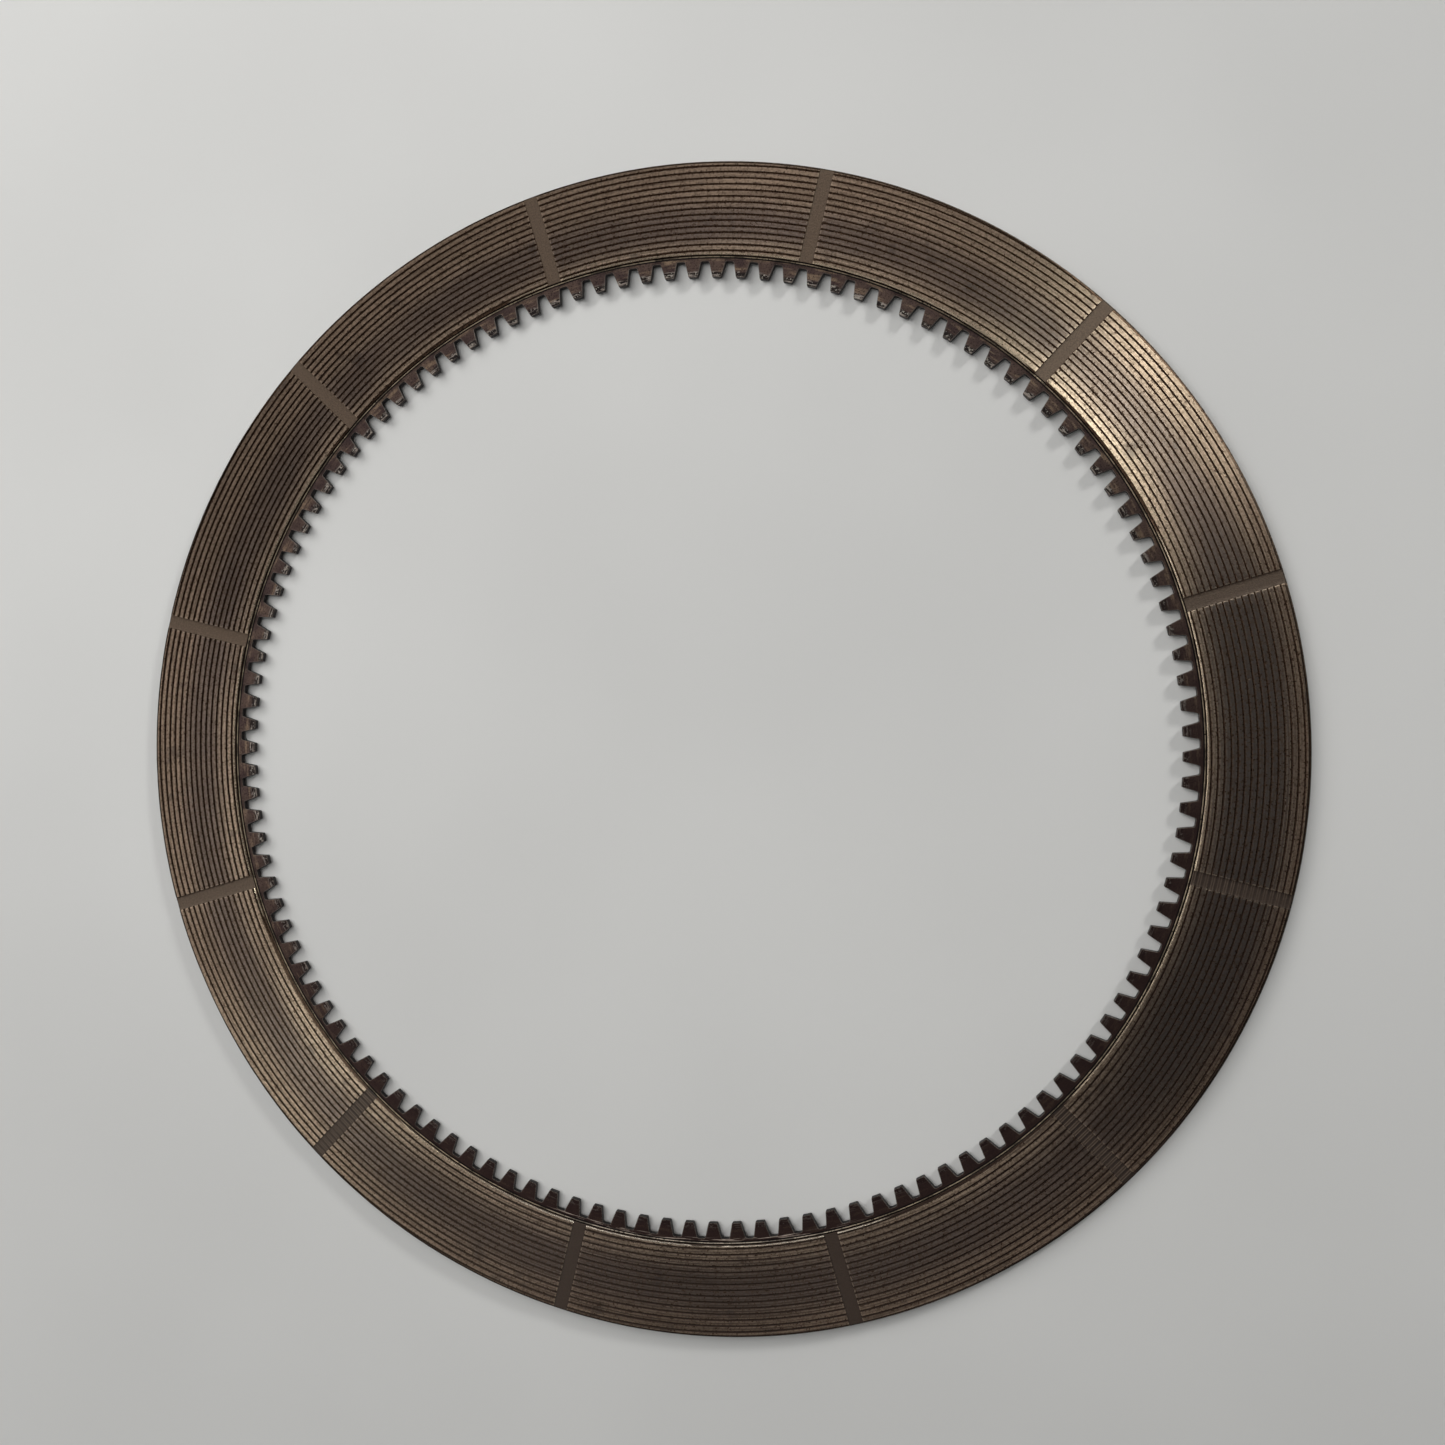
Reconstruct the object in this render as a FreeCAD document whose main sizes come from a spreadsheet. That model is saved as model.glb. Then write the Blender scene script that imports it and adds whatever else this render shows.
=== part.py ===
import FreeCAD, Part

# Friction disc of a wet multi-plate clutch or brake.
#
# A thin steel core plate carries internal teeth, which slide on a toothed hub. A ring of sintered
# bronze is bonded to each of its faces. Each ring is cut by a four-start spiral of fine oil grooves
# and by radial oil channels, and every channel's floor is still bronze.
#
# Frame: millimetres, origin on the disc's axis half way through its thickness, +Z out of the front
# facing, +X along the middle of one radial channel.

import math
import os
import Sketcher

# Driving dimensions: alias, value, meaning. Lengths in millimetres, angles in degrees.
SIZES = [
    ("gear_module", 2.5, "module of the internal teeth"),
    ("tooth_count", 124, "internal teeth on the core plate"),
    ("tooth_addendum", 0.8, "tooth height inside the pitch circle, in modules"),
    ("tooth_dedendum", 1.2, "tooth height outside the pitch circle, in modules"),
    ("flank_angle", 14.5, "angle between a tooth's flank and its centre line"),
    ("root_fillet", 0.6, "radius between a flank and the root circle"),
    ("tip_chamfer", 0.3, "radial height of the bevel at a tooth's tip corners"),
    ("tip_bevel_angle", 50, "angle between that bevel and the tooth's centre line"),
    ("tooth_offset", 0.66, "angle from +X to the centre line of the nearest tooth"),
    ("core_diameter", 380, "outer diameter of the core plate"),
    ("core_thickness", 2.2, "thickness of the core plate"),
    ("rim_chamfer", 0.2, "bevel on the core plate's outer edges"),
    ("facing_outer_diameter", 379, "outer diameter of each bronze facing"),
    ("facing_inner_diameter", 320, "inner diameter of each bronze facing"),
    ("facing_thickness", 0.9, "thickness of each bronze facing"),
    ("channel_count", 12, "radial oil channels in each facing"),
    ("channel_width", 4.5, "width of a radial channel, which has parallel sides"),
    ("channel_depth", 0.55, "depth of a radial channel"),
    ("groove_pitch", 1.925, "radial distance from one spiral groove to the next"),
    ("groove_width", 0.75, "width of a spiral groove at the friction face"),
    ("groove_floor_width", 0.45, "width of a spiral groove at its floor"),
    ("groove_depth", 0.65, "depth of a spiral groove"),
    ("groove_start_radius", 189.64, "radius at which a groove enters the rim, on +X"),
    ("cut_clearance", 1, "how far a cutting profile runs past the faces that it cuts"),
]

# The spiral is drawn in quarter turns: one quarter's arcs are repeated about the axis this often.
QUARTERS = 4

HORIZONTAL_AXIS = -1
ORIGIN_POINT = (-1, 1)
START = 1
END = 2
CENTRE = 3

doc = FreeCAD.newDocument("FrictionDisc")


def fill_sheet():
    """Write the driving dimensions to the spreadsheet, one named cell each."""
    sheet = doc.addObject("Spreadsheet::Sheet", "Sizes")
    for row, (alias, value, meaning) in enumerate(SIZES, start=1):
        sheet.set(f"A{row}", alias)
        sheet.set(f"B{row}", str(value))
        sheet.set(f"C{row}", meaning)
        sheet.setAlias(f"B{row}", alias)
    doc.recompute()
    return sheet


sheet = fill_sheet()


def evaluate(expression):
    """The present value of an expression over the sheet's cells."""
    return float(sheet.evalExpression(expression))


def origin_feature(body, role):
    """One of a body's own origin planes or axes, found by its role."""
    return next(item for item in body.Origin.OriginFeatures if item.Role == role)


def new_body(name):
    body = doc.addObject("PartDesign::Body", name)
    body.Label = name
    return body


def new_sketch(body, name, plane="XY_Plane"):
    sketch = body.newObject("Sketcher::SketchObject", name)
    sketch.AttachmentSupport = [(origin_feature(body, plane), "")]
    sketch.MapMode = "FlatFace"
    return sketch


def point(x, y):
    return FreeCAD.Vector(x, y, 0)


def line(start, end):
    return Part.LineSegment(start, end)


def arc(centre, radius, start_angle, end_angle):
    circle = Part.Circle(centre, FreeCAD.Vector(0, 0, 1), radius)
    return Part.ArcOfCircle(circle, start_angle, end_angle)


def relate(sketch, kind, *where):
    """Add a constraint that has no value, such as Coincident or Tangent."""
    sketch.addConstraint(Sketcher.Constraint(kind, *where))


def bind(sketch, kind, *where, to):
    """Add a constraint whose value follows an expression over the sheet's cells."""
    value = evaluate(to)
    if kind == "Angle":
        value = math.radians(value)
    index = sketch.addConstraint(Sketcher.Constraint(kind, *where, value))
    sketch.setExpression(f"Constraints[{index}]", to)


def bound_circle(sketch, radius):
    """A circle about the sketch's origin, its radius bound to the sheet."""
    circle = sketch.addGeometry(Part.Circle(point(0, 0), FreeCAD.Vector(0, 0, 1), evaluate(radius)))
    relate(sketch, "Coincident", circle, CENTRE, *ORIGIN_POINT)
    bind(sketch, "Radius", circle, to=radius)


def bound_outline(sketch, corners):
    """A closed outline of straight lines; each corner is a pair of expressions for x and y."""
    places = [point(evaluate(x), evaluate(y)) for x, y in corners]
    sides = [sketch.addGeometry(line(places[i - 1], places[i])) for i in range(len(places))]
    for i, side in enumerate(sides):
        relate(sketch, "Coincident", sides[i - 1], END, side, START)
        bind(sketch, "DistanceX", *ORIGIN_POINT, side, END, to=corners[i][0])
        bind(sketch, "DistanceY", *ORIGIN_POINT, side, END, to=corners[i][1])


def new_feature(body, kind, name, profile):
    feature = body.newObject(f"PartDesign::{kind}", name)
    feature.Profile = (profile, [""])
    return feature


def polar_pattern(body, name, feature, occurrences):
    """Repeat a feature evenly about the body's Z axis."""
    pattern = body.newObject("PartDesign::PolarPattern", name)
    pattern.Originals = [feature]
    pattern.Axis = (origin_feature(body, "Z_Axis"), [""])
    pattern.Angle = 360
    pattern.setExpression("Occurrences", occurrences)
    body.Tip = pattern
    return pattern


def pad_ring(body, outer_radius, inner_radius, thickness, centred):
    """A flat ring, either centred on the body's XY plane or standing on it."""
    sketch = new_sketch(body, "RingOutline")
    bound_circle(sketch, outer_radius)
    bound_circle(sketch, inner_radius)
    pad = new_feature(body, "Pad", "Ring", sketch)
    pad.SideType = "Symmetric" if centred else "One side"
    pad.setExpression("Length", thickness)
    body.Tip = pad
    doc.recompute()
    return pad


# ---------------------------------------------------------------- core plate

PITCH_RADIUS = "Sizes.gear_module * Sizes.tooth_count / 2"
TIP_RADIUS = f"({PITCH_RADIUS} - Sizes.tooth_addendum * Sizes.gear_module)"
ROOT_RADIUS = f"({PITCH_RADIUS} + Sizes.tooth_dedendum * Sizes.gear_module)"
# Inclination of a tooth space's flank to the middle line of that space.
SPACE_FLANK_ANGLE = "(Sizes.flank_angle - 180 / Sizes.tooth_count)"
# Half of the angle that a tooth space takes of the pitch circle.
SPACE_HALF_ANGLE = "(90 deg / Sizes.tooth_count)"


def tooth_space_sketch(body):
    """One space between two teeth, its middle line on +X: a root arc, two fillets, two flanks,
    and the bevels of the tooth tips on either side, closed inside the bore."""
    sketch = new_sketch(body, "ToothSpace")
    root_radius = evaluate(ROOT_RADIUS)
    fillet = evaluate("Sizes.root_fillet")
    slope = math.radians(evaluate(SPACE_FLANK_ANGLE))
    bevel = math.radians(evaluate("Sizes.tip_bevel_angle"))
    pitch_x = f"{PITCH_RADIUS} * cos({SPACE_HALF_ANGLE})"
    pitch_y = f"{PITCH_RADIUS} * sin({SPACE_HALF_ANGLE})"
    corner_x = f"{TIP_RADIUS} + Sizes.tip_chamfer"
    closing_x = f"{TIP_RADIUS} - Sizes.cut_clearance"

    # Where the upper half's curves start out: along the flank from its point on the pitch circle.
    on_pitch = point(evaluate(pitch_x), evaluate(pitch_y))
    outward = point(math.cos(slope), -math.sin(slope))
    into_space = point(-math.sin(slope), -math.cos(slope))
    beside = on_pitch + into_space * fillet
    along = beside.dot(outward)
    run = math.sqrt(along**2 - beside.Length**2 + (root_radius - fillet) ** 2) - along
    fillet_centre = beside + outward * run
    fillet_start = math.atan2(fillet_centre.y, fillet_centre.x)
    fillet_end = math.pi / 2 - slope
    flank_start = on_pitch + outward * run
    tip_corner = on_pitch - outward * ((on_pitch.x - evaluate(corner_x)) / math.cos(slope))
    bevel_run = (tip_corner.x - evaluate(closing_x)) / math.cos(bevel)
    closing = tip_corner + point(-math.cos(bevel), math.sin(bevel)) * bevel_run

    def below(place):
        return point(place.x, -place.y)

    root = sketch.addGeometry(arc(point(0, 0), root_radius, -fillet_start, fillet_start))
    upper_fillet = sketch.addGeometry(arc(fillet_centre, fillet, fillet_start, fillet_end))
    lower_fillet = sketch.addGeometry(arc(below(fillet_centre), fillet, -fillet_end, -fillet_start))
    upper_flank = sketch.addGeometry(line(flank_start, tip_corner))
    lower_flank = sketch.addGeometry(line(below(flank_start), below(tip_corner)))
    upper_bevel = sketch.addGeometry(line(tip_corner, closing))
    lower_bevel = sketch.addGeometry(line(below(tip_corner), below(closing)))
    closing_line = sketch.addGeometry(line(closing, below(closing)))
    pitch_point = sketch.addGeometry(Part.Point(on_pitch), True)

    relate(sketch, "Coincident", root, CENTRE, *ORIGIN_POINT)
    relate(sketch, "Tangent", root, END, upper_fillet, START)
    relate(sketch, "Tangent", root, START, lower_fillet, END)
    relate(sketch, "Tangent", upper_fillet, END, upper_flank, START)
    relate(sketch, "Tangent", lower_fillet, START, lower_flank, START)
    relate(sketch, "Coincident", upper_flank, END, upper_bevel, START)
    relate(sketch, "Coincident", lower_flank, END, lower_bevel, START)
    relate(sketch, "Coincident", upper_bevel, END, closing_line, START)
    relate(sketch, "Coincident", lower_bevel, END, closing_line, END)
    relate(sketch, "Symmetric", upper_flank, START, lower_flank, START, HORIZONTAL_AXIS)
    relate(sketch, "Symmetric", upper_flank, END, lower_flank, END, HORIZONTAL_AXIS)
    relate(sketch, "Symmetric", upper_bevel, END, lower_bevel, END, HORIZONTAL_AXIS)
    relate(sketch, "PointOnObject", pitch_point, START, upper_flank)
    bind(sketch, "Radius", root, to=ROOT_RADIUS)
    bind(sketch, "Radius", upper_fillet, to="Sizes.root_fillet")
    bind(sketch, "DistanceX", *ORIGIN_POINT, pitch_point, START, to=pitch_x)
    bind(sketch, "DistanceY", *ORIGIN_POINT, pitch_point, START, to=pitch_y)
    bind(sketch, "Angle", upper_flank, to=f"180 - {SPACE_FLANK_ANGLE}")
    bind(sketch, "DistanceX", *ORIGIN_POINT, upper_flank, END, to=corner_x)
    bind(sketch, "Angle", upper_bevel, to="180 - Sizes.tip_bevel_angle")
    bind(sketch, "DistanceX", *ORIGIN_POINT, upper_bevel, END, to=closing_x)
    return sketch


def core_plate():
    """Steel plate: a ring bevelled round its rim, with tooth spaces cut from its bore."""
    body = new_body("core_plate")
    ring = pad_ring(body, "Sizes.core_diameter / 2", TIP_RADIUS, "Sizes.core_thickness", True)

    rim_radius = evaluate("Sizes.core_diameter / 2")
    edges = enumerate(ring.Shape.Edges, start=1)
    rim_edges = [f"Edge{i}" for i, edge in edges if is_circle(edge, rim_radius)]
    chamfer = body.newObject("PartDesign::Chamfer", "RimChamfer")
    chamfer.Base = (ring, rim_edges)
    chamfer.setExpression("Size", "Sizes.rim_chamfer")

    space = new_feature(body, "Pocket", "ToothSpaceCut", tooth_space_sketch(body))
    space.Type = "ThroughAll"
    space.SideType = "Symmetric"
    polar_pattern(body, "Teeth", space, "Sizes.tooth_count")

    # The first space lies on the body's +X, half a tooth pitch from the tooth beside it.
    body.Placement = FreeCAD.Placement(FreeCAD.Vector(), FreeCAD.Rotation(FreeCAD.Vector(0, 0, 1), 1))
    body.setExpression("Placement.Rotation.Angle", "Sizes.tooth_offset + 180 / Sizes.tooth_count")
    return body


def is_circle(edge, radius):
    return isinstance(edge.Curve, Part.Circle) and math.isclose(edge.Curve.Radius, radius)


# ---------------------------------------------------------------- bronze facings


def groove_section_sketch(body):
    """The section of every groove that crosses a quarter of the facing.

    A spiral whose arcs change centre every quarter turn has its centres on the corners of a
    square as wide as one pitch, so all the grooves of one quarter are arcs about one corner, and
    each of them meets the next groove inwards, or the rim, in the quarter beside it.
    """
    sketch = new_sketch(body, "GrooveSections", "XZ_Plane")
    sketch.setExpression("AttachmentOffset.Base.x", "Sizes.groove_pitch / 2")
    sketch.setExpression("AttachmentOffset.Base.z", "Sizes.groove_pitch / 2")
    face = "Sizes.facing_thickness"
    floor = f"{face} - Sizes.groove_depth"
    # The walls keep their slope where they run on above the friction face.
    wall_slope = "(Sizes.groove_width - Sizes.groove_floor_width) / (2 * Sizes.groove_depth)"
    top_half = f"(Sizes.groove_width / 2 + Sizes.cut_clearance * {wall_slope})"
    floor_half = "Sizes.groove_floor_width / 2"
    ring_width = evaluate("(Sizes.facing_outer_diameter - Sizes.facing_inner_diameter) / 2")
    rows = math.ceil(ring_width / evaluate("Sizes.groove_pitch"))
    for row in range(rows):
        middle = f"Sizes.groove_start_radius - {row + 0.5} * Sizes.groove_pitch"
        bound_outline(sketch, [
            (f"{middle} - {top_half}", f"{face} + Sizes.cut_clearance"),
            (f"{middle} - {floor_half}", floor),
            (f"{middle} + {floor_half}", floor),
            (f"{middle} + {top_half}", f"{face} + Sizes.cut_clearance"),
        ])
    return sketch


def channel_sketch(body):
    """One radial channel along +X, drawn at the friction face and open at both of its ends."""
    sketch = new_sketch(body, "ChannelOutline")
    sketch.setExpression("AttachmentOffset.Base.z", "Sizes.facing_thickness")
    inner = "Sizes.facing_inner_diameter / 2 - Sizes.channel_width"
    outer = "Sizes.facing_outer_diameter / 2 + Sizes.cut_clearance"
    half_width = "Sizes.channel_width / 2"
    bound_outline(sketch, [
        (inner, f"-{half_width}"),
        (outer, f"-{half_width}"),
        (outer, half_width),
        (inner, half_width),
    ])
    return sketch


def facing(name):
    """Bronze ring standing on its body's XY plane, its friction face up."""
    body = new_body(name)
    pad_ring(body, "Sizes.facing_outer_diameter / 2", "Sizes.facing_inner_diameter / 2",
             "Sizes.facing_thickness", False)

    channel = new_feature(body, "Pocket", "Channel", channel_sketch(body))
    channel.setExpression("Length", "Sizes.channel_depth")
    polar_pattern(body, "Channels", channel, "Sizes.channel_count")

    sections = groove_section_sketch(body)
    grooves = new_feature(body, "Groove", "QuarterGrooves", sections)
    grooves.ReferenceAxis = (sections, ["V_Axis"])
    grooves.Angle = 360 / QUARTERS
    polar_pattern(body, "SpiralGrooves", grooves, str(QUARTERS))
    return body


def front_facing():
    body = facing("front_facing")
    body.setExpression("Placement.Base.z", "Sizes.core_thickness / 2")
    return body


def rear_facing():
    """The same ring as the front facing, turned over about X onto the plate's other face."""
    body = facing("rear_facing")
    turned_over = FreeCAD.Rotation(FreeCAD.Vector(1, 0, 0), 180)
    body.Placement = FreeCAD.Placement(FreeCAD.Vector(), turned_over)
    body.setExpression("Placement.Base.z", "-Sizes.core_thickness / 2")
    return body


# ---------------------------------------------------------------- checks and export


def check_document(bodies):
    """Stop if any object failed, any solid is bad, or any cut removed nothing."""
    for item in doc.Objects:
        if "Invalid" in item.State or "Error" in item.State:
            raise RuntimeError(f"{item.Name} failed: {item.State} {item.getStatusString()}")
    for body in bodies:
        shape = body.Shape
        if shape.isNull() or not shape.isValid() or len(shape.Solids) != 1:
            raise RuntimeError(f"{body.Label} is not one valid solid")
        for item in body.Group:
            base = getattr(item, "BaseFeature", None)
            if base is not None and item.Shape.Volume >= base.Shape.Volume:
                raise RuntimeError(f"{body.Label}: {item.Name} removed no material")


def export(bodies):
    os.makedirs("parts", exist_ok=True)
    for body in bodies:
        body.Shape.exportStep(f"parts/{body.Label}.step")
        box = body.Shape.BoundBox
        print(f"{body.Label}: {body.Shape.Volume:.0f} mm3, {len(body.Shape.Faces)} faces, "
              f"{box.XLength:.2f} x {box.YLength:.2f} x {box.ZLength:.2f} mm")


bodies = [core_plate(), front_facing(), rear_facing()]
doc.recompute()
check_document(bodies)
export(bodies)
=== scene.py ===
"""Looks of a sintered-bronze friction disc: a toothed steel core plate with a grooved facing on each side.

Lengths are in millimetres up to the point where a mesh, light or camera is made, and angles in degrees.
The disc lies flat, its axis is Z, and +X runs along the middle of one radial oil channel.
"""

import math

import bpy
import numpy as np
from mathutils import Euler, Matrix, Vector


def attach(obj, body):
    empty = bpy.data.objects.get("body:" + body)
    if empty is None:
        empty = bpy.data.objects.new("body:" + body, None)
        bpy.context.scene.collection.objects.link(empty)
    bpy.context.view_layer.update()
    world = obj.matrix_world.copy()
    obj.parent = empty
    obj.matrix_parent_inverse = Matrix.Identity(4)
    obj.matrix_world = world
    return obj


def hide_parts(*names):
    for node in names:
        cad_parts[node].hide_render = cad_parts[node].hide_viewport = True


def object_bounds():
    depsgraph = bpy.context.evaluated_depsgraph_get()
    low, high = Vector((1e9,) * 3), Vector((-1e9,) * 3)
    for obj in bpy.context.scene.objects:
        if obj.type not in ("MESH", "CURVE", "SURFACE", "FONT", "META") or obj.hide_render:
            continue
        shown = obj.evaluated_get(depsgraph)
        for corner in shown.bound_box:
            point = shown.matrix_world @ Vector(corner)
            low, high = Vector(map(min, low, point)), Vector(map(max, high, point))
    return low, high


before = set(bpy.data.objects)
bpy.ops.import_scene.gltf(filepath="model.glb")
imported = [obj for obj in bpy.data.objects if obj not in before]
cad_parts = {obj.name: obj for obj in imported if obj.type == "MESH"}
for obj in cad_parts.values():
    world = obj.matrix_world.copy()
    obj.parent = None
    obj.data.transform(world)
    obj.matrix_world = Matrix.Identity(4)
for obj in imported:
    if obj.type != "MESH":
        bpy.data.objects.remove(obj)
cad_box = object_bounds()

MM = 0.001
SEED = 7


# ---------------------------------------------------------------------------------------------------------
# Sizes taken from the CAD


def ring_size(node):
    """Inner radius, outer radius, lowest and highest z of a CAD ring, in mm to two decimals."""
    corners = np.array([v.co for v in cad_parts[node].data.vertices]) / MM
    radii = np.hypot(corners[:, 0], corners[:, 1])
    sizes = radii.min(), radii.max(), corners[:, 2].min(), corners[:, 2].max()
    return [round(float(size), 2) for size in sizes]


TOOTH_TIP, CAD_RIM, _, CORE_TOP = ring_size("core_plate")
FACING_INNER, FACING_OUTER, BOND, FACE = ring_size("front_facing")

# The CAD mesh's rim is a polygon, and its box is a little narrower than the rim. The visual stays in it.
RIM = min([CAD_RIM] + [abs(value) / MM for corner in cad_box for value in corner[:2]])

# ---------------------------------------------------------------------------------------------------------
# Shape of the core plate

# Internal teeth. TOOTH_OFFSET is the angle of one tooth's middle, and the roots lie 1.2 modules outside the
# pitch circle. The last three are mesh steps.
MODULE = 2.5
TEETH = 124
TOOTH_OFFSET = 0.66
PITCH_RADIUS = MODULE * TEETH / 2
TOOTH_ROOT = PITCH_RADIUS + 1.2 * MODULE
HALF_TOOTH = MODULE * math.pi / 4
FLANK_ANGLE = 14.5
ROOT_FILLET = 0.6
TIP_ROUND = 0.38
ARC_STEPS = 2
ROUND_STEPS = 4
FLANK_STEPS = 3

# The plate's edges are rolled. ROLL is the size of the roll, and the other two say how far its middle lies
# inside the sharp corner, at the teeth and at the rim.
COLLAR = 159.1
ROLL = 0.25
ROLL_MIDDLE = 0.07
RIM_ROLL_MIDDLE = 0.06

# Line of squeezed-out bronze and crevice beside the facing. Each pair of RIDGE is the share of the way from
# the collar's edge to the facing, and the height there. The line's height swings by RIDGE_SWING.
RIDGE_LINE = 159.45
RIDGE = ((0.28, 0.10), (0.46, 0.16), (0.62, 0.0), (0.74, -0.22), (1.07, -0.22), (1.24, 0.0))
RIDGE_WAVES = (3, 7, 13, 29, 61)
RIDGE_SWING = 0.25

# ---------------------------------------------------------------------------------------------------------
# Shape of a facing

# Radial oil channels. A wall is distances from the channel's middle, and the share of the depth at each.
# The spiral groove runs on through the floors of the traced channels.
CHANNELS = 12
CHANNEL_STEP = 360 / CHANNELS
CHANNEL_DEPTH = 0.55
CHANNEL_WALL = ((0, 2.05, 2.17, 2.28, 2.40), (1, 1, 0.88, 0.10, 0))
CHANNEL_HALF = CHANNEL_WALL[0][-1]
TRACED_CHANNELS = (7, 10, 11)

# Spiral oil groove with several starts. GROOVE_START is the radius of one groove's middle at angle 0.
STARTS = 4
GROOVE_PITCH = 1.925
GROOVE_START = 187.715
GROOVE_DEPTH = 0.65
GROOVE_WALL = ((0, 0.19, 0.23, 0.31, 0.37), (1, 1, 0.88, 0.10, 0))
GROOVE_HALF = GROOVE_WALL[0][-1]

# Uneven wear makes the grooves GROOVE_WEAR times as wide as GROOVE_WALL, plus GROOVE_SWING at the angle
# GROOVE_WIDEST and minus it across from there.
GROOVE_WEAR = 0.95
GROOVE_SWING = 0.16
GROOVE_WIDEST = 170

# Worn edges: width and depth of the bevel, how ragged it is, dents in the floors, and a nicked stretch of
# the inner edge. THINNEST_BEVEL is what the nicks leave of the bevel's width.
EDGE_BREAK = 0.34
EDGE_DROP = 0.15
EDGE_CHIP = 0.14
OUTER_CHIP_SHARE = 0.4
CHIP = 0.03
NICKED_ANGLE = 254
NICKED_SPREAD = 11
NICK = 0.30
THINNEST_BEVEL = 0.05

# Mesh: columns between two channels, how near to an edge a row is cut off, and rounds of fitting the
# spiral rows to the columns.
LAND_COLUMNS = 36
SNAP = 0.04
SPIRAL_ROUNDS = 4

# ---------------------------------------------------------------------------------------------------------
# Where the looks change on the disc

# Angles of the palest side, the grooves painted lightest as a painted highlight, the grey stain, and the
# glints beside the grooves, which are painted highlights.
PALE_SIDE_ANGLE = 95
GROOVE_SHEEN_ANGLE = 30
GREY_ANGLE = 336
GLINT_ANGLE = 5

# Ring of the strongest heat tint, and how much nearer to the teeth it lies on the palest side. The gold
# gets duller between the radii of GOLD_FADE.
HEAT_RADIUS = 173.5
HEAT_SHIFT = 4
GOLD_FADE = (164, 182)

# Direction of the brushing, as a share of a full turn.
BRUSH_TURN = 0.25

# ---------------------------------------------------------------------------------------------------------
# Colours, as linear red, green and blue

# Bronze lands. The first three are pairs, for the dull and the bright turning marks.
INNER_GOLD = ((0.543, 0.398, 0.284), (0.850, 0.642, 0.465))
OUTER_GOLD = ((0.370, 0.262, 0.187), (0.585, 0.423, 0.306))
HEAT_TINT = ((0.22, 0.166, 0.138), (0.335, 0.252, 0.208))
BAND_BROWN = (0.20, 0.145, 0.11)
SCORE_BROWN = (0.17, 0.122, 0.092)
STAIN_BROWN = (0.160, 0.126, 0.112)
STAIN_GREY = (0.142, 0.124, 0.112)
SMUDGE_GREY = (0.12, 0.10, 0.09)
SPECKLE_BROWN = (0.155, 0.102, 0.070)
SCRATCH_BROWN = (0.10, 0.073, 0.060)
# The next is a painted highlight beside the grooves; the one after is partly wear and partly a painted
# highlight along the channel edges.
GLINT_GOLD = (0.85, 0.67, 0.46)
CHANNEL_EDGE_WEAR_AND_HIGHLIGHT = (0.62, 0.48, 0.35)
PORE_BROWN = (0.075, 0.046, 0.031)
# The last is painted shade along the facing's outer edge.
RIM_SHADE_BROWN = (0.036, 0.026, 0.020)

# The inner lip, plain and where it is nicked: burnished bronze, brightened further as a painted highlight,
# most of all where it is nicked.
LIP_BURNISH_AND_HIGHLIGHT = ((0.88, 0.72, 0.52), (1.0, 0.88, 0.72))

# Groove floors, dark and light grain, each on the side away from the window lamps and on the side toward
# them, where the grooves are painted lighter as a painted highlight, and what lies over them.
GROOVE_DARK = ((0.037, 0.0225, 0.0155), (0.092, 0.055, 0.037))
GROOVE_LIGHT = ((0.12, 0.073, 0.048), (0.30, 0.185, 0.120))
GROOVE_STAIN = (0.095, 0.066, 0.055)
GROOVE_WORN = (0.20, 0.145, 0.115)

# Channel floors on the darker and on the paler side of the disc, their grain, and the groove traced across
# some.
CHANNEL_BROWN = ((0.074, 0.050, 0.037), (0.182, 0.127, 0.088))
CHANNEL_GRAIN = (0.042, 0.030, 0.023)
TRACE_DARK = (0.016, 0.011, 0.009)
TRACE_CREST = (0.28, 0.21, 0.155)

# Core steel. OXIDE is a pair for its blotches, SCUFF for the scratches at the tooth tips.
OXIDE = ((0.070, 0.044, 0.041), (0.120, 0.078, 0.063))
OXIDE_STREAK = (0.27, 0.185, 0.125)
OXIDE_GRAIN = (0.022, 0.016, 0.016)
SCUFF = ((0.024, 0.018, 0.017), (0.36, 0.30, 0.26))
SCUFF_FLECK = (0.42, 0.37, 0.32)
# The steel is darker on the side of the disc away from the palest side.
STEEL_DARKER_SIDE = (0.038, 0.020, 0.018)
# A painted highlight on the collar, at the nicked stretch.
COLLAR_GLINT = (0.75, 0.60, 0.50)
# Near-black steel along the rim: dark oxide, deepened as painted shade.
PLATE_RIM_OXIDE_AND_SHADE = (0.014, 0.011, 0.010)
# Painted shade in the crevices beside the facing.
CREVICE_SHADE = (0.012, 0.009, 0.009)
WALL = (0.016, 0.012, 0.012)
# A painted highlight along the top edges of the walls.
WALL_EDGE_HIGHLIGHT = (0.20, 0.165, 0.14)

# Squeezed-out bronze on the collar, plain and where the facing is nicked.
RIDGE_GOLD = ((0.62, 0.49, 0.34), (0.85, 0.70, 0.56))

# Table top, in its darker and lighter clouds.
TABLE_GREY = ((0.705, 0.70, 0.678), (0.745, 0.74, 0.717))

# ---------------------------------------------------------------------------------------------------------
# Floor, room and lamps

FLOOR_GAP = 0.05
FLOOR_RADIUS = 1500
FLOOR_SIDES = 96

# The room lights the disc with ROOM_LIGHT, and looks ROOM_BRIGHTNESS bright behind the table.
ROOM_COLOUR = (0.95, 0.98, 1.0)
ROOM_LIGHT = 0.07
ROOM_BRIGHTNESS = 0.55
DAYLIGHT = (0.86, 1.0, 0.96)
NEUTRAL = (1.0, 1.0, 1.0)

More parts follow.
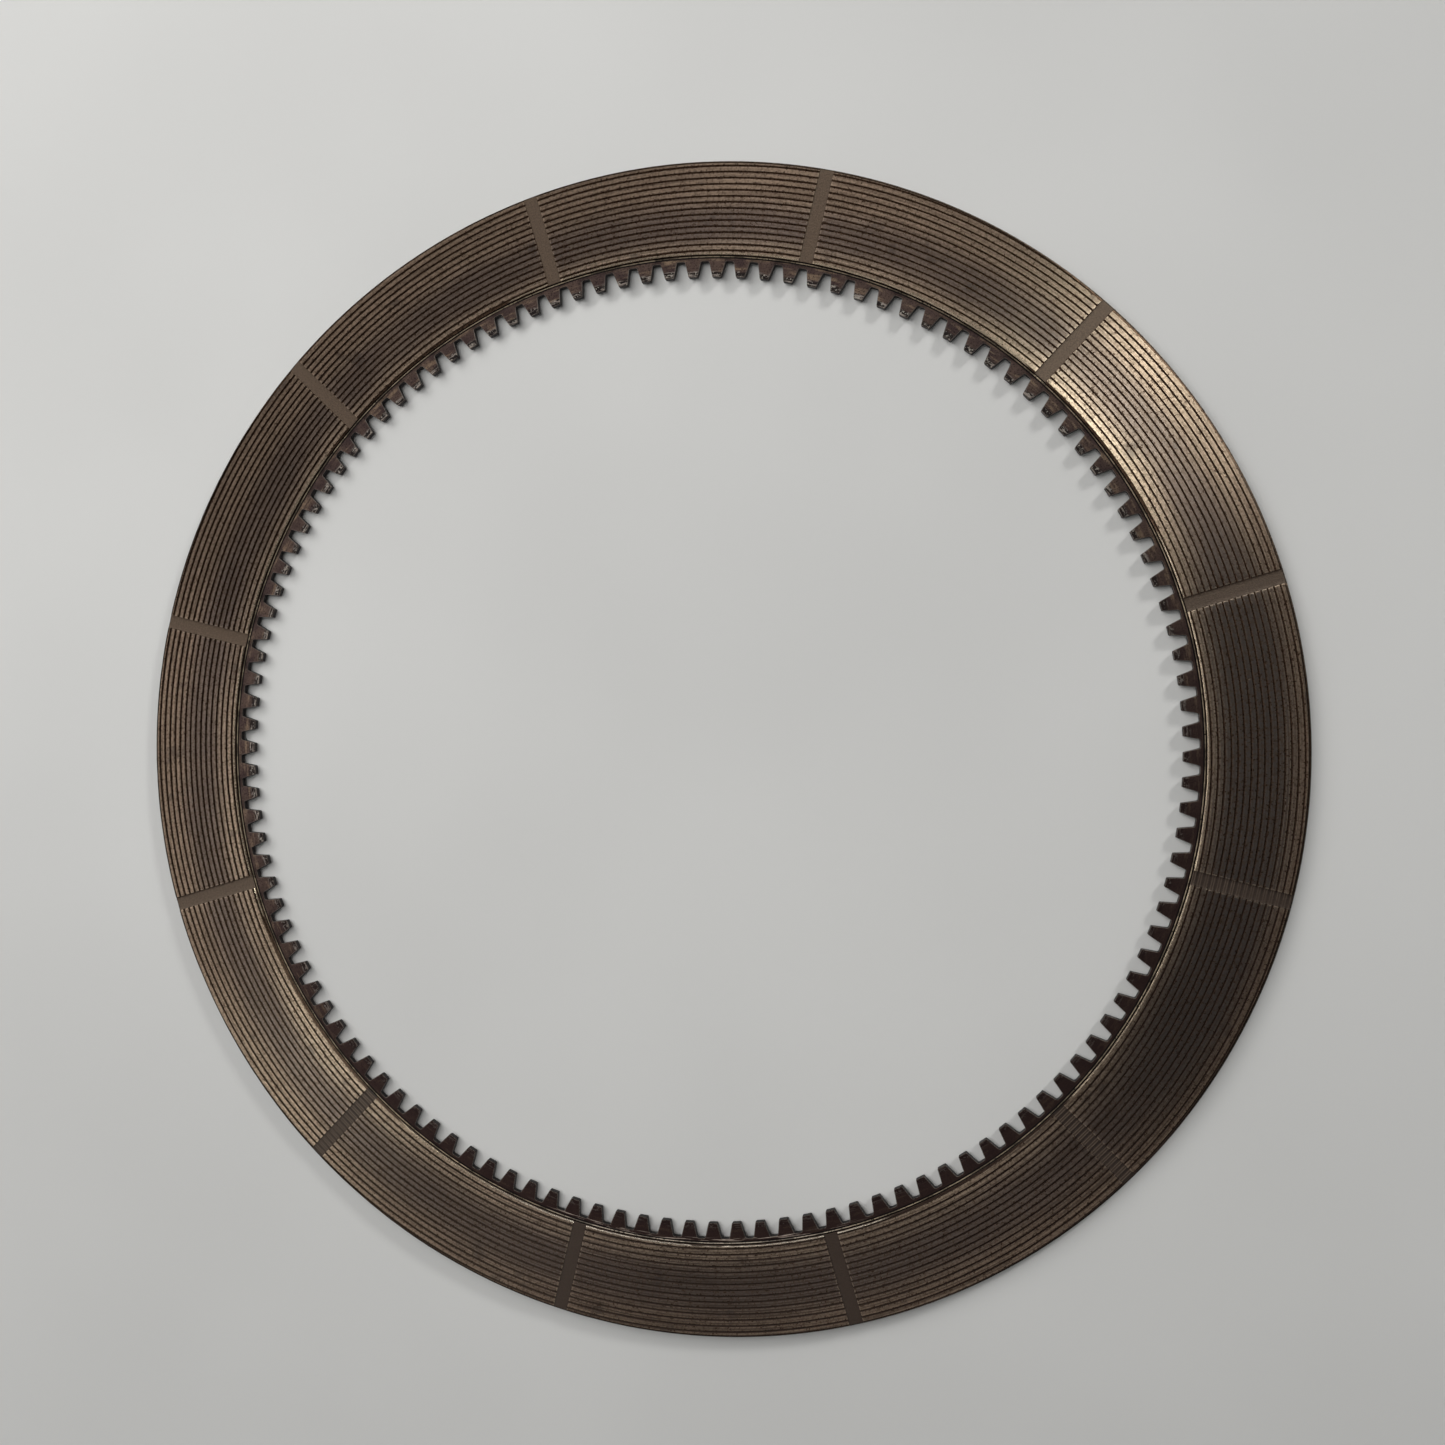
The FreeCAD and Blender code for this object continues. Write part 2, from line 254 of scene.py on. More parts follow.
# A window low at the upper right of the picture, banks of soft boxes round the disc that only the metal
# reflects, and fills. Each lamp: name, azimuth from the picture's sideways axis, elevation, distance in mm,
# side in metres, watts, what it acts on, colour.
SOFT_LIGHTS = (
    ("window_gleam", 43, 28, 2200, 0.48, 17.0, "gloss", DAYLIGHT),
    ("window_side", 53, 26, 2200, 0.48, 10.5, "gloss", DAYLIGHT),
    ("window_edge", 33, 30, 2200, 0.40, 8.0, "gloss", NEUTRAL),
    ("window", 47, 26, 2200, 0.36, 14.0, "all", NEUTRAL),
    ("bank_top", 85, 45, 1100, 0.50, 1.05, "gloss", NEUTRAL),
    ("bank_corner", 112, 45, 1100, 0.50, 0.85, "gloss", NEUTRAL),
    ("bank_middle", 145, 40, 1100, 0.50, 0.25, "gloss", NEUTRAL),
    ("bank_left", 185, 36, 1100, 0.50, 1.9, "gloss", NEUTRAL),
    ("bank_low", 232, 40, 1100, 0.50, 0.75, "gloss", NEUTRAL),
    ("bank_bottom", 282, 45, 1100, 0.60, 0.6, "gloss", NEUTRAL),
    ("low_fill", 150, 34, 1200, 0.70, 1.2, "all", NEUTRAL),
    ("high_fill", 125, 30, 1300, 0.80, 1.5, "matt", NEUTRAL),
    ("overhead", 120, 80, 1500, 0.90, 5.8, "matt", NEUTRAL),
    ("wide_fill", 140, 46, 1150, 0.90, 5.0, "matt", NEUTRAL),
)

# ---------------------------------------------------------------------------------------------------------
# Camera: nearly overhead. The picture's sideways axis lies PICTURE_TURN away from the disc's +X.

PICTURE_TURN = -16.39
CAMERA_ASIDE = (95.98, 15.09)
CAMERA_HEIGHT = 458.49
CAMERA_PAN = 10.600
CAMERA_TILT = -0.701
CAMERA_LENS = 35.97
SENSOR = 36


def in_picture(along, up, height):
    """A point given along the picture's own axes, in mm, as a point of the disc's frame in metres."""
    return Matrix.Rotation(math.radians(PICTURE_TURN), 3, "Z") @ Vector((along, up, height)) * MM


def add_camera():
    """The photo's camera. Its place and turns are given in the picture's own axes."""
    data = bpy.data.cameras.new("camera")
    data.lens = CAMERA_LENS
    data.sensor_width = SENSOR
    data.clip_start = 0.01
    camera = bpy.data.objects.new("camera", data)
    camera.location = in_picture(*CAMERA_ASIDE, CAMERA_HEIGHT)
    camera.rotation_mode = "YXZ"
    turns = (CAMERA_TILT, CAMERA_PAN, PICTURE_TURN)
    camera.rotation_euler = Euler([math.radians(turn) for turn in turns], "YXZ")
    bpy.context.scene.collection.objects.link(camera)
    bpy.context.scene.camera = camera


# ---------------------------------------------------------------------------------------------------------
# Mesh helpers

SHARP_ANGLE = 35


def make_object(name, points, faces):
    """A smooth-shaded mesh object from points in mm, with edges sharper than SHARP_ANGLE kept crisp."""
    mesh = bpy.data.meshes.new(name)
    mesh.from_pydata((np.asarray(points) * MM).tolist(), [], faces)
    mesh.validate()
    mesh.shade_smooth()
    mesh.set_sharp_from_angle(angle=math.radians(SHARP_ANGLE))
    piece = bpy.data.objects.new(name, mesh)
    shading = piece.modifiers.new("even_shading", "WEIGHTED_NORMAL")
    shading.weight = 100
    shading.keep_sharp = True
    bpy.context.scene.collection.objects.link(piece)
    return piece


def closed_strip(first, second):
    """Quads between two rings of vertex numbers, both closed on themselves."""
    return np.stack([first, np.roll(first, -1), np.roll(second, -1), second], axis=1)


def face_lists(quads):
    """Quads as lists, with repeated corners taken out and collapsed faces dropped."""
    faces = []
    for quad in quads.tolist():
        corners = [c for i, c in enumerate(quad) if c != quad[i - 1]]
        if len(set(corners)) == len(corners) > 2:
            faces.append(corners)
    return faces


def used_only(points, faces):
    """The same mesh without the points that no face uses."""
    used = np.unique(np.concatenate([np.array(face) for face in faces]))
    renumber = np.zeros(len(points), int)
    renumber[used] = np.arange(len(used))
    return points[used], [[int(renumber[c]) for c in face] for face in faces]


# ---------------------------------------------------------------------------------------------------------
# Facing


def polar_points(radius, angle, height):
    """Points from radii, angles in degrees and heights."""
    turn = np.radians(angle)
    return np.stack([radius * np.cos(turn), radius * np.sin(turn), height], axis=-1)


def channel_columns():
    """Sector angle, sideways offset and share of the land for each radial line of the facing's mesh."""
    sides = np.array(CHANNEL_WALL[0][1:])
    offsets = np.concatenate([-sides[::-1], [-1.0, 0, 1.0], sides])
    shares = np.arange(1, LAND_COLUMNS + 1) / (LAND_COLUMNS + 1)
    sideways = np.concatenate([offsets, np.full(LAND_COLUMNS, CHANNEL_HALF)])
    share = np.concatenate([np.zeros(len(offsets)), shares])
    sector = np.repeat(np.arange(CHANNELS) * CHANNEL_STEP, len(share))
    return sector, np.tile(sideways, CHANNELS), np.tile(share, CHANNELS)


def column_angles(columns, radius):
    """Angle of each mesh line at a radius. Lines beside a channel stay parallel to it."""
    sector, sideways, share = columns
    edge = np.degrees(np.arcsin(CHANNEL_HALF / radius))
    return sector + np.degrees(np.arcsin(sideways / radius)) + share * (CHANNEL_STEP - 2 * edge)


def spiral_rows():
    """Place of each mesh row, in groove pitches inside the groove's start, and the rows in one pitch."""
    steps = np.array(GROOVE_WALL[0]) / GROOVE_PITCH
    phases = np.concatenate([steps, [0.5], 1 - steps[:0:-1]])
    first = math.floor((GROOVE_START - FACING_OUTER) / GROOVE_PITCH) - STARTS
    last = math.ceil((GROOVE_START - FACING_INNER) / GROOVE_PITCH) + 1
    return (np.arange(first, last)[:, None] + phases[None, :]).ravel(), len(phases)


def facing_grid(columns, rows):
    """Radius and angle where each row meets each column, and where rows are cut off outside and inside."""
    inner, outer = FACING_INNER + EDGE_BREAK, FACING_OUTER - EDGE_BREAK
    radius = np.full((len(rows), len(columns[0])), (inner + outer) / 2)
    for _ in range(SPIRAL_ROUNDS):
        angle = column_angles(columns, radius)
        radius = GROOVE_START - GROOVE_PITCH * (rows[:, None] + STARTS * angle / 360)
        outside = radius > outer - SNAP
        inside = radius < inner + SNAP
        radius = np.where(outside, outer, np.where(inside, inner, radius))
    return radius, column_angles(columns, radius), outside, inside


def groove_turns(radius, angle):
    """How many groove pitches a point lies inside the groove's start. Whole numbers are groove centres."""
    return (GROOVE_START - radius) / GROOVE_PITCH - STARTS * angle / 360


def facing_height(radius, angle, chips):
    """Height of the worn face above the disc's middle, in mm, cut by the groove and the channels."""
    turns = groove_turns(radius, angle)
    from_groove = np.abs(turns - np.round(turns)) * GROOVE_PITCH
    width = GROOVE_WEAR + GROOVE_SWING * np.cos(np.radians(angle - GROOVE_WIDEST))
    groove = GROOVE_DEPTH * np.interp(from_groove / width, *GROOVE_WALL)
    index = np.round(angle / CHANNEL_STEP)
    from_channel = np.abs(radius * np.sin(np.radians(angle - index * CHANNEL_STEP)))
    channel = CHANNEL_DEPTH * np.interp(from_channel, *CHANNEL_WALL)
    traced = np.isin(index % CHANNELS, TRACED_CHANNELS)
    groove = np.where(traced | (from_channel > CHANNEL_WALL[0][2]), groove, 0)
    return FACE - np.maximum(groove, channel) - chips * (np.maximum(groove, channel) > 0)


def edge_wear(angles, is_inner, random):
    """How far the worn lip stands back from the true edge at each angle."""
    ragged = random.random(len(angles)) ** 4 * EDGE_CHIP * (1 if is_inner else OUTER_CHIP_SHARE)
    if is_inner:
        nicked = np.exp(-(((angles - NICKED_ANGLE) / NICKED_SPREAD) ** 2))
        nicks = random.random(len(angles)) ** 2 * NICK * nicked
        ragged = np.minimum(ragged + nicks, EDGE_BREAK - THINNEST_BEVEL)
    return ragged


def edge_rings(columns, edge, face_height, random):
    """Points of the worn lip at an edge's radius, and of the foot below it on the core plate."""
    angles = column_angles(columns, edge)
    is_inner = edge == FACING_INNER
    wear = edge_wear(angles, is_inner, random)
    lip_radius = edge + wear if is_inner else edge - wear
    drop = EDGE_DROP * (face_height - BOND) / (FACE - BOND)
    lip = polar_points(lip_radius, angles, face_height - drop)
    foot = polar_points(np.full(len(angles), edge), angles, np.full(len(angles), BOND))
    return [lip, foot]


def grid_quads(numbers, pitch_rows):
    """Quads of the grid, and of the seam where the last column meets the first one, STARTS pitches on."""
    shift = STARTS * pitch_rows
    grid = np.stack([numbers[:-1, :-1], numbers[:-1, 1:], numbers[1:, 1:], numbers[1:, :-1]], -1)
    end, start = numbers[:-shift, -1], numbers[shift:, 0]
    seam = np.stack([end[:-1], start[:-1], start[1:], end[1:]], -1)
    return [grid.reshape(-1, 4), seam]


def facing_mesh():
    """Points and faces of the front facing. Mesh rows follow the spiral, and are cut off at both edges."""
    random = np.random.default_rng(SEED)
    columns = channel_columns()
    rows, pitch_rows = spiral_rows()
    radius, angle, outside, inside = facing_grid(columns, rows)
    chips = CHIP * random.random(radius.shape) ** 3
    height = facing_height(radius, angle, chips)

    points = [polar_points(radius.ravel(), angle.ravel(), height.ravel())]
    points += edge_rings(columns, FACING_OUTER, height[0], random)
    points += edge_rings(columns, FACING_INNER, height[-1], random)

    # One vertex stands for all the rows that are cut off at the same edge of a column.
    numbers = np.arange(radius.size).reshape(radius.shape)
    numbers = np.where(outside, numbers[0], np.where(inside, numbers[-1], numbers))
    size = len(columns[0])
    outer_lip, outer_foot, inner_lip, inner_foot = radius.size + np.arange(4 * size).reshape(4, size)
    rings = [numbers[-1], inner_lip, inner_foot, outer_foot, outer_lip, numbers[0]]
    quads = grid_quads(numbers, pitch_rows)
    quads += [closed_strip(first, second) for first, second in zip(rings, rings[1:])]
    return used_only(np.concatenate(points), face_lists(np.concatenate(quads)))


# ---------------------------------------------------------------------------------------------------------
# Core plate


def unit(angle):
    """The direction at an angle in the plane of the disc."""
    return np.array([math.cos(math.radians(angle)), math.sin(math.radians(angle))])


def arc_between(centre, radius, start, end, steps):
    """Points on a circle from one point to another, and the directions from its centre."""
    first = math.atan2(*(start - centre)[::-1])
    turn = math.atan2(*(end - centre)[::-1]) - first
    turn = (turn + math.pi) % (2 * math.pi) - math.pi
    angles = first + turn * np.linspace(0, 1, steps + 1)
    away = np.stack([np.cos(angles), np.sin(angles)], axis=1)
    return centre + radius * away, away


def half_tooth():
    """From the middle of a tooth space to the middle of the tooth: points, and directions into the steel.

    The tooth's centre line is the local X axis, and the points have a positive Y.
    """
    along = unit(FLANK_ANGLE)
    outward = np.array([-along[1], along[0]])
    on_flank = np.array([PITCH_RADIUS, HALF_TOOTH])

    def rolling_centre(offset, reach):
        """Centre of an arc that is offset from the flank and at a distance from the disc's axis."""
        base = on_flank + offset * outward
        middle = base @ along
        return base + along * (-middle + math.sqrt(middle**2 - base @ base + reach**2))

    root_centre = rolling_centre(ROOT_FILLET, TOOTH_ROOT - ROOT_FILLET)
    tip_centre = rolling_centre(-TIP_ROUND, TOOTH_TIP + TIP_ROUND)
    root_touch = root_centre * TOOTH_ROOT / np.linalg.norm(root_centre)
    tip_touch = tip_centre * TOOTH_TIP / np.linalg.norm(tip_centre)
    flank_outer = root_centre - ROOT_FILLET * outward
    flank_inner = tip_centre + TIP_ROUND * outward
    gap_middle = TOOTH_ROOT * unit(180 / TEETH)
    tip_middle = TOOTH_TIP * unit(0)
    axis = np.zeros(2)

    root, root_in = arc_between(axis, TOOTH_ROOT, gap_middle, root_touch, ARC_STEPS)
    fillet, fillet_in = arc_between(root_centre, ROOT_FILLET, root_touch, flank_outer, ROUND_STEPS)
    corner, corner_out = arc_between(tip_centre, TIP_ROUND, flank_inner, tip_touch, ROUND_STEPS)
    tip, tip_in = arc_between(axis, TOOTH_TIP, tip_touch, tip_middle, ARC_STEPS)
    flank = np.linspace(fillet[-1], corner[0], FLANK_STEPS + 1)[1:-1]
    flank_in = np.tile(-outward, (len(flank), 1))
    points = np.concatenate([root[:-1], fillet, flank, corner, tip[1:]])
    into = np.concatenate([root_in[:-1], fillet_in, flank_in, -corner_out, tip_in[1:]])
    return points, into


def core_outline():
    """The plate's toothed outline: points and directions into the steel, all the way round."""
    half, half_in = half_tooth()
    mirror = np.array([1, -1])
    tooth = np.concatenate([half * mirror, half[-2:0:-1]])
    tooth_in = np.concatenate([half_in * mirror, half_in[-2:0:-1]])
    angles = TOOTH_OFFSET + np.arange(TEETH) * 360 / TEETH
    points, into = [], []
    for angle in angles:
        c, s = unit(angle)
        turn = np.array([[c, s], [-s, c]])
        points.append(tooth @ turn)
        into.append(tooth_in @ turn)
    return np.concatenate(points), np.concatenate(into)


def ridge_wave(angles, random):
    """Uneven height, from 0.5 to 1, of the squeezed-out line beside the facing."""
    wave = np.zeros(len(angles))
    for count in RIDGE_WAVES:
        wave += np.sin(np.radians(angles) * count + random.uniform(0, 2 * math.pi)) / math.sqrt(count)
    return 1 - RIDGE_SWING + RIDGE_SWING * wave / np.abs(wave).max()


def core_mesh():
    """Points and faces of the core plate: rings of points from the toothed outline out to the rim."""
    random = np.random.default_rng(SEED + 1)
    outline, into = core_outline()
    angles = np.degrees(np.arctan2(outline[:, 1], outline[:, 0]))
    wave = ridge_wave(angles, random)

    def toothed(inset, height):
        """The toothed outline, moved into the steel by inset."""
        return np.column_stack([outline + into * inset, np.full(len(outline), height)])

    def round_ring(radius, height):
        """A circle with one point for each point of the outline."""
        return polar_points(radius + np.zeros(len(angles)), angles, height + np.zeros(len(angles)))

    upper = [toothed(0, CORE_TOP - ROLL)]
    upper.append(toothed(ROLL_MIDDLE, CORE_TOP - ROLL_MIDDLE))
    upper.append(toothed(ROLL, CORE_TOP))
    upper.append(round_ring(COLLAR, CORE_TOP))
    for share, lift in RIDGE:
        upper.append(round_ring(COLLAR + (FACING_INNER - COLLAR) * share, CORE_TOP + lift * wave))
    upper.append(round_ring(RIM - ROLL, CORE_TOP))
    upper.append(round_ring(RIM - RIM_ROLL_MIDDLE, CORE_TOP - ROLL_MIDDLE))
    upper.append(round_ring(RIM, CORE_TOP - ROLL))
    lower = [ring * np.array([1, 1, -1]) for ring in reversed(upper)]
    rings = upper + lower
    size = len(outline)
    numbers = np.arange(len(rings) * size).reshape(len(rings), size)
    quads = [closed_strip(numbers[i], numbers[i - 1]) for i in range(len(rings))]
    return np.concatenate(rings), face_lists(np.concatenate(quads))


# ---------------------------------------------------------------------------------------------------------
# Materials


class Graph:
    """Builds the node tree of one material. Values are node sockets, numbers, vectors or colours."""

    def __init__(self, name):
        self.material = bpy.data.materials.new(name)
        self.material.use_nodes = True
        self.tree = self.material.node_tree
        self.shader = self.tree.nodes["Principled BSDF"]

    def put(self, socket, value):
        """Links another node's output to a socket, or sets the socket. A colour is red, green and blue."""
        if isinstance(value, bpy.types.NodeSocket):
            self.tree.links.new(value, socket)
        elif socket.type == "RGBA":
            socket.default_value = (*value, 1)
        else:
            socket.default_value = value

    def add(self, kind, *values, **settings):
        """A shader node with its first inputs filled in order."""
        node = self.tree.nodes.new("ShaderNode" + kind)
        for name, setting in settings.items():
            setattr(node, name, setting)
        for socket, value in zip(node.inputs, values):
            self.put(socket, value)
        return node

    def math(self, operation, *values):
        """The result of one Math node."""
        return self.add("Math", *values, operation=operation).outputs[0]

    def times(self, first, *others):
        """The product of all the values."""
        for other in others:
            first = self.math("MULTIPLY", first, other)
        return first

    def ramp(self, value, low, high, to_low=0.0, to_high=1.0):
        """value taken from the range low to high into another range, eased and clamped."""
        node = self.add("MapRange", value, low, high, to_low, to_high, interpolation_type="SMOOTHSTEP")
        return node.outputs[0]

    def ramp_mm(self, length, low, high, to_low=0.0, to_high=1.0):
        """The same as ramp, with low and high in millimetres."""
        return self.ramp(length, low * MM, high * MM, to_low, to_high)

    def line(self, length, middle, reach, core):
        """1 where length is within core of middle, falling to 0 at reach from it, all in millimetres."""
        return self.ramp_mm(self.math("ABSOLUTE", self.math("SUBTRACT", length, middle * MM)), reach, core)

    def mix(self, share, first, second):
        """first where share is 0, second where it is 1."""
        node = self.add("Mix", data_type="RGBA")
        for name, value in (("Factor_Float", share), ("A_Color", first), ("B_Color", second)):
            socket = next(s for s in node.inputs if s.identifier == name)
            self.put(socket, value)
        return next(s for s in node.outputs if s.identifier == "Result_Color")

    def layers(self, colour, *coats):
        """A colour with coats over it. Each coat is the share that it covers, and its own colour."""
        for share, coat in coats:
            colour = self.mix(share, colour, coat)
        return colour

    def noise(self, place, scale, detail=2.0, roughness=0.5):
        """A cloud of values round 0.5."""
        node = self.add("TexNoise", noise_dimensions="3D")
        self.put(node.inputs["Vector"], place)
        node.inputs["Scale"].default_value = scale
        node.inputs["Detail"].default_value = detail
        node.inputs["Roughness"].default_value = roughness
        return node.outputs[0]

    def bump(self, height, distance, strength, normal=None):
        """A normal tilted by the slope of height, on top of another normal if there is one."""
        node = self.add("Bump")
        node.inputs["Strength"].default_value = strength
        node.inputs["Distance"].default_value = distance
        self.put(node.inputs["Height"], height)
        if normal is not None:
            self.put(node.inputs["Normal"], normal)
        return node.outputs[0]


class DiscGraph(Graph):
    """A graph with places on the disc: radius, angle, height from the middle and direction from the axis.

    The angle is that of the same face seen from its own side, so both facings get the same grooves.
    """

    def __init__(self, name):
        super().__init__(name)
        self.place = self.add("TexCoord").outputs["Object"]
        x, y, z = self.add("SeparateXYZ", self.place).outputs
        flat = self.add("CombineXYZ", x, y, 0.0).outputs[0]
        self.radius = self.add("VectorMath", flat, operation="LENGTH").outputs["Value"]
        self.direction = self.add("VectorMath", flat, operation="NORMALIZE").outputs[0]
        self.angle = self.math("MULTIPLY", self.math("ARCTAN2", y, x), self.math("SIGN", z))
        self.height = self.math("ABSOLUTE", z)
        self.pale_side = self.toward(PALE_SIDE_ANGLE)

    def toward(self, middle):
        """1 on the side of the disc at the angle middle, in degrees, falling to 0 across from it."""
        turn = self.math("SUBTRACT", self.angle, math.radians(middle))
        return self.math("MULTIPLY_ADD", self.math("COSINE", turn), 0.5, 0.5)

    def clouds(self, size, detail=3.0, roughness=0.65):
        """Noise with clouds of a size in millimetres."""
        return self.noise(self.place, 1 / (size * MM), detail, roughness)

    def brushed(self, width, length):
        """Streaks round the disc, as wide along the radius and as long along the arc as given in mm."""
        arcs = self.add("VectorMath", self.direction, operation="SCALE")
        arcs.inputs["Scale"].default_value = PITCH_RADIUS / length
        across = self.math("MULTIPLY", self.radius, 1 / (width * MM))
        lift = self.add("CombineXYZ", 0.0, 0.0, across).outputs[0]
        spot = self.add("VectorMath", arcs.outputs[0], lift, operation="ADD").outputs[0]
        return self.noise(spot, 1.0, detail=3.0, roughness=0.6)


class Bronze(DiscGraph):
    """Sintered bronze: burnished, pitted lands with turning marks, dark grooves, matt channel floors."""

    def __init__(self):
        super().__init__("sintered_bronze")
        self.marks = self.brushed(0.22, 25)
        self.scores = self.brushed(0.55, 50)
        self.grain = self.clouds(0.5)
        self.blotch = self.clouds(17, roughness=0.55)
        # The nicked stretch: real wear, and where the lip gets its brightest painted highlight.
        self.nicked_wear_and_sheen = self.ramp(self.toward(NICKED_ANGLE), 0.93, 0.985)
        self.find_cuts()
        self.find_pits()
        hottest = self.ramp(self.pale_side, 0.5, 1.0, HEAT_RADIUS * MM, (HEAT_RADIUS - HEAT_SHIFT) * MM)
        self.from_hottest = self.math("ABSOLUTE", self.math("SUBTRACT", self.radius, hottest))
        lip = self.ramp_mm(self.radius, FACING_INNER + EDGE_BREAK + 0.06, FACING_INNER + EDGE_BREAK - 0.02)
        self.lip = self.times(lip, self.ramp(self.grain, 0.36, 0.50))

    def find_cuts(self):
        """What is sunk, what of it is a channel's floor, and the distances from grooves and channels."""
        depth = self.math("SUBTRACT", FACE * MM, self.height)
        bevel = self.ramp_mm(self.radius, FACING_INNER + EDGE_BREAK, FACING_INNER, 0.0, EDGE_DROP * MM)
        self.sunk = self.ramp_mm(self.math("SUBTRACT", depth, bevel), 0.02, 0.16)
        to_channel = self.math("PINGPONG", self.angle, math.radians(CHANNEL_STEP / 2))
        self.from_channel = self.math("MULTIPLY", self.math("SINE", to_channel), self.radius)
        self.floor = self.times(self.ramp_mm(self.from_channel, 2.35, 2.15), self.sunk)
        start = GROOVE_START / GROOVE_PITCH
        turns = self.math("MULTIPLY_ADD", self.radius, -1 / (GROOVE_PITCH * MM), start)
        turns = self.math("MULTIPLY_ADD", self.angle, -STARTS / (2 * math.pi), turns)
        self.from_groove = self.math("MULTIPLY", self.math("PINGPONG", turns, 0.5), GROOVE_PITCH * MM)

    def find_pits(self):
        """Pores of the sinter, 0 in a pore. They crowd together beside the grooves."""
        beside_groove = self.ramp_mm(self.from_groove, GROOVE_HALF, 0.80, 1.0, 0.0)
        pores = self.math("MULTIPLY_ADD", beside_groove, -0.09, self.clouds(0.75))
        self.pits = self.ramp(pores, 0.30, 0.39)

    def burnished(self):
        """Gold lands, duller towards the rim, with a dark heat tint along the middle of the ring."""
        shine = self.ramp(self.marks, 0.3, 0.7)
        fade = self.ramp_mm(self.radius, *GOLD_FADE)
        gold = self.mix(fade, self.mix(shine, *INNER_GOLD), self.mix(shine, *OUTER_GOLD))
        heat = self.math("SUBTRACT", self.ramp_mm(self.from_hottest, 2, 11, 1.0, 0.0), 0.42)
        heat = self.math("MULTIPLY_ADD", self.blotch, 0.8, heat)
        return self.mix(self.add("Clamp", heat).outputs[0], gold, self.mix(shine, *HEAT_TINT))

    def soiled(self, land):
        """Lands with turning bands, scores, stains, smudges and speckles."""
        bands = self.ramp(self.brushed(2.2, 160), 0.5, 0.8, 0.0, 0.5)
        scored = self.times(self.ramp(self.scores, 0.47, 0.62), self.ramp(self.pale_side, 0.0, 0.5, 0.75, 0.4))
        stain = self.ramp_mm(self.from_hottest, 15, 5, 0.10, 0.42)
        stain = self.times(self.ramp(self.pale_side, 0.45, 0.08), stain)
        grey = self.ramp(self.toward(GREY_ANGLE), 0.90, 0.98)
        grey = self.times(grey, self.ramp_mm(self.from_hottest, 16, 7), 0.85)
        smudge = self.times(self.ramp(self.clouds(11, 4.0, 0.6), 0.62, 0.70), 0.55)
        speckle = self.ramp(self.clouds(0.9, roughness=0.7), 0.36, 0.58, 0.60, 0.0)
        return self.layers(
            land,
            (bands, BAND_BROWN),
            (scored, SCORE_BROWN),
            (stain, STAIN_BROWN),
            (grey, STAIN_GREY),
            (smudge, SMUDGE_GREY),
            (speckle, SPECKLE_BROWN),
        )

    def lined(self, land):
        """Lands with scratches along their ridges at the nicked stretch, painted glints beside the grooves,
        and channel edges partly worn bright and partly a painted highlight.
        """
        scratch = self.ramp_mm(self.from_groove, GROOVE_PITCH / 2 - 0.17, GROOVE_PITCH / 2 - 0.07)
        scratch = self.times(scratch, self.nicked_wear_and_sheen, self.ramp(self.scores, 0.35, 0.60, 0.3, 0.8))
        # Painted highlight: glints beside the grooves.
        glint = self.times(
            self.line(self.from_groove, 0.50, 0.14, 0.05),
            self.ramp(self.toward(GLINT_ANGLE), 0.80, 0.96),
            self.ramp_mm(self.from_hottest, 7, 11, 0.05, 0.3),
            self.ramp(self.scores, 0.35, 0.55),
        )
        # Bright channel edges: partly wear, partly a painted highlight.
        edge = self.line(self.from_channel, 2.50, 0.28, 0.10)
        edge = self.times(edge, self.ramp(self.grain, 0.40, 0.55, 0.0, 0.45))
        return self.layers(land, (scratch, SCRATCH_BROWN), (glint, GLINT_GOLD), (edge, CHANNEL_EDGE_WEAR_AND_HIGHLIGHT))

    def land(self):
        """The whole land: burnished and soiled metal, lines and pores, the lip partly a painted highlight,
        the rim painted shade.
        """
        land = self.mix(self.pits, PORE_BROWN, self.lined(self.soiled(self.burnished())))
        # Painted shade along the outer edge.
        rim_shade = self.ramp_mm(self.radius, FACING_OUTER - 0.65, FACING_OUTER - 0.40)
        # Painted highlight on the lip, over its burnished bronze.
        return self.layers(land, (self.lip, self.mix(self.nicked_wear_and_sheen, *LIP_BURNISH_AND_HIGHLIGHT)), (rim_shade, RIM_SHADE_BROWN))

    def groove(self):
        """Groove floors: grainy, painted lighter toward the window lamps as a painted highlight, stained on
        another side, paler where worn.
        """
        groove_sheen = self.toward(GROOVE_SHEEN_ANGLE)
        light = self.ramp(self.grain, 0.35, 0.65)
        # Painted highlight: the groove floors are painted lighter on the side of the window lamps.
        groove = self.mix(light, self.mix(groove_sheen, *GROOVE_DARK), self.mix(groove_sheen, *GROOVE_LIGHT))
        stained = self.ramp(self.pale_side, 0.40, 0.05, 0.0, 0.6)
        return self.layers(groove, (stained, GROOVE_STAIN), (self.times(self.nicked_wear_and_sheen, 0.5), GROOVE_WORN))

    def channel(self):
        """Channel floors: matt and grainy, with the spiral groove traced across some of them."""
        traced = 0.0
        for index in TRACED_CHANNELS:
            middle = math.radians((index * CHANNEL_STEP + 180) % 360 - 180)
            traced = self.math("ADD", traced, self.math("COMPARE", self.angle, middle, math.radians(3)))
        traced = self.times(traced, self.ramp(self.blotch, 0.35, 0.60, 0.25, 1.0))
        trace = self.times(self.ramp_mm(self.from_groove, 0.42, 0.22), traced, 0.55)
        crest = self.times(self.line(self.from_groove, 0.62, 0.16, 0.05), traced, 0.45)
        return self.layers(
            self.mix(self.ramp(self.pale_side, 0.2, 0.75), *CHANNEL_BROWN),
            (self.ramp(self.grain, 0.3, 0.7, 0.45, 0.0), CHANNEL_GRAIN),
            (trace, TRACE_DARK),
            (crest, TRACE_CREST),
        )

    def sunken(self, land, groove, channel):
        """One value on the land, another in the grooves, and a third on the channel floors."""
        return self.ramp(self.sunk, 0.0, 1.0, land, self.ramp(self.floor, 0.0, 1.0, groove, channel))

